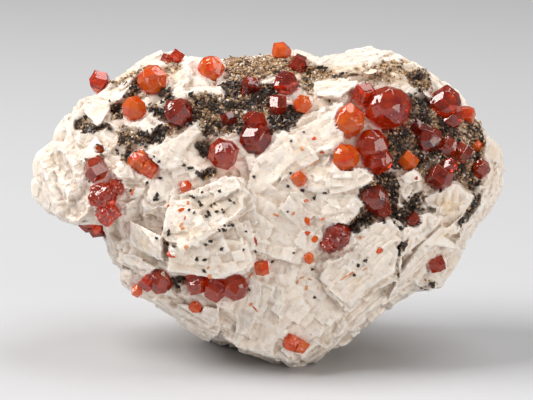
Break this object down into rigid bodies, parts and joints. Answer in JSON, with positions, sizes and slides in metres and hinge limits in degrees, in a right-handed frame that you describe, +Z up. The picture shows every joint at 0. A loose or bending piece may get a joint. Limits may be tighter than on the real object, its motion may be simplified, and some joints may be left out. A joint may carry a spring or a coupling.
{
  "type": "garnet on matrix",
  "caption": "Free-standing mineral specimen: orange to deep red garnet crystals set in a blocky white feldspar matrix with dark and tan crust.",
  "frame": {"origin": "centre of the flat resting face, at the height of the surface it stands on", "axes": "+Z up as it stands, +X to the right along its length, -Y towards the side with the show crystals"},
  "size_m": [0.1186, 0.0674, 0.0783],
  "materials": {
    "feldspar": "rough white to cream cleavages with black and tan crust",
    "garnet_red": "clear deep red, vitreous faces",
    "garnet_orange": "clear orange-red, vitreous faces",
    "garnet_dark": "dark purple-red, vitreous faces"
  },
  "bodies": {
    "root": {"matrix": "feldspar", "garnet_left_brow": "garnet_red", "garnet_left_dome": "garnet_orange", "garnet_left_flat": "garnet_orange", "garnet_left_dark": "garnet_dark", "garnet_top_left_pair": "garnet_red", "garnet_upper_pair": "garnet_orange", "garnet_band_plum": "garnet_dark", "garnet_top_edge": "garnet_orange", "garnet_band_upper": "garnet_dark", "garnet_band_sparkler": "garnet_dark", "garnet_band_plum_low": "garnet_dark", "garnet_band_orange": "garnet_orange", "garnet_band_bead": "garnet_dark", "garnet_band_large": "garnet_dark", "garnet_band_foot": "garnet_red", "garnet_waist_red": "garnet_red", "garnet_waist_rough": "garnet_orange", "garnet_cream_bead": "garnet_orange", "garnet_left_group": "garnet_red", "garnet_left_under": "garnet_red", "garnet_seam_left": "garnet_red", "garnet_seam_chain": "garnet_red", "garnet_centre_stub": "garnet_orange", "garnet_low_left_chip": "garnet_orange", "garnet_low_left_edge": "garnet_orange", "garnet_centre_bead": "garnet_orange", "garnet_centre_rough": "garnet_dark", "garnet_centre_shard": "garnet_orange", "garnet_keel": "garnet_orange", "garnet_giant": "garnet_red", "garnet_giant_left": "garnet_orange", "garnet_right_deep": "garnet_red", "garnet_right_orange": "garnet_orange", "garnet_far_right": "garnet_red", "garnet_far_right_small": "garnet_orange", "garnet_right_dark": "garnet_dark", "garnet_right_twins": "garnet_red", "garnet_right_stub": "garnet_orange", "garnet_right_low": "garnet_dark", "garnet_rim_right": "garnet_red", "garnet_rim_bead": "garnet_orange", "garnet_pocket": "garnet_dark", "garnet_brown_bead": "garnet_dark", "garnet_low_right": "garnet_red", "garnet_left_bead": "garnet_orange", "garnet_left_fleck": "garnet_orange", "garnet_back_left": "garnet_red", "garnet_back_centre": "garnet_orange", "garnet_back_right": "garnet_red", "garnet_back_top": "garnet_dark", "garnet_back_bead": "garnet_orange"}
  },
  "joints": []
}
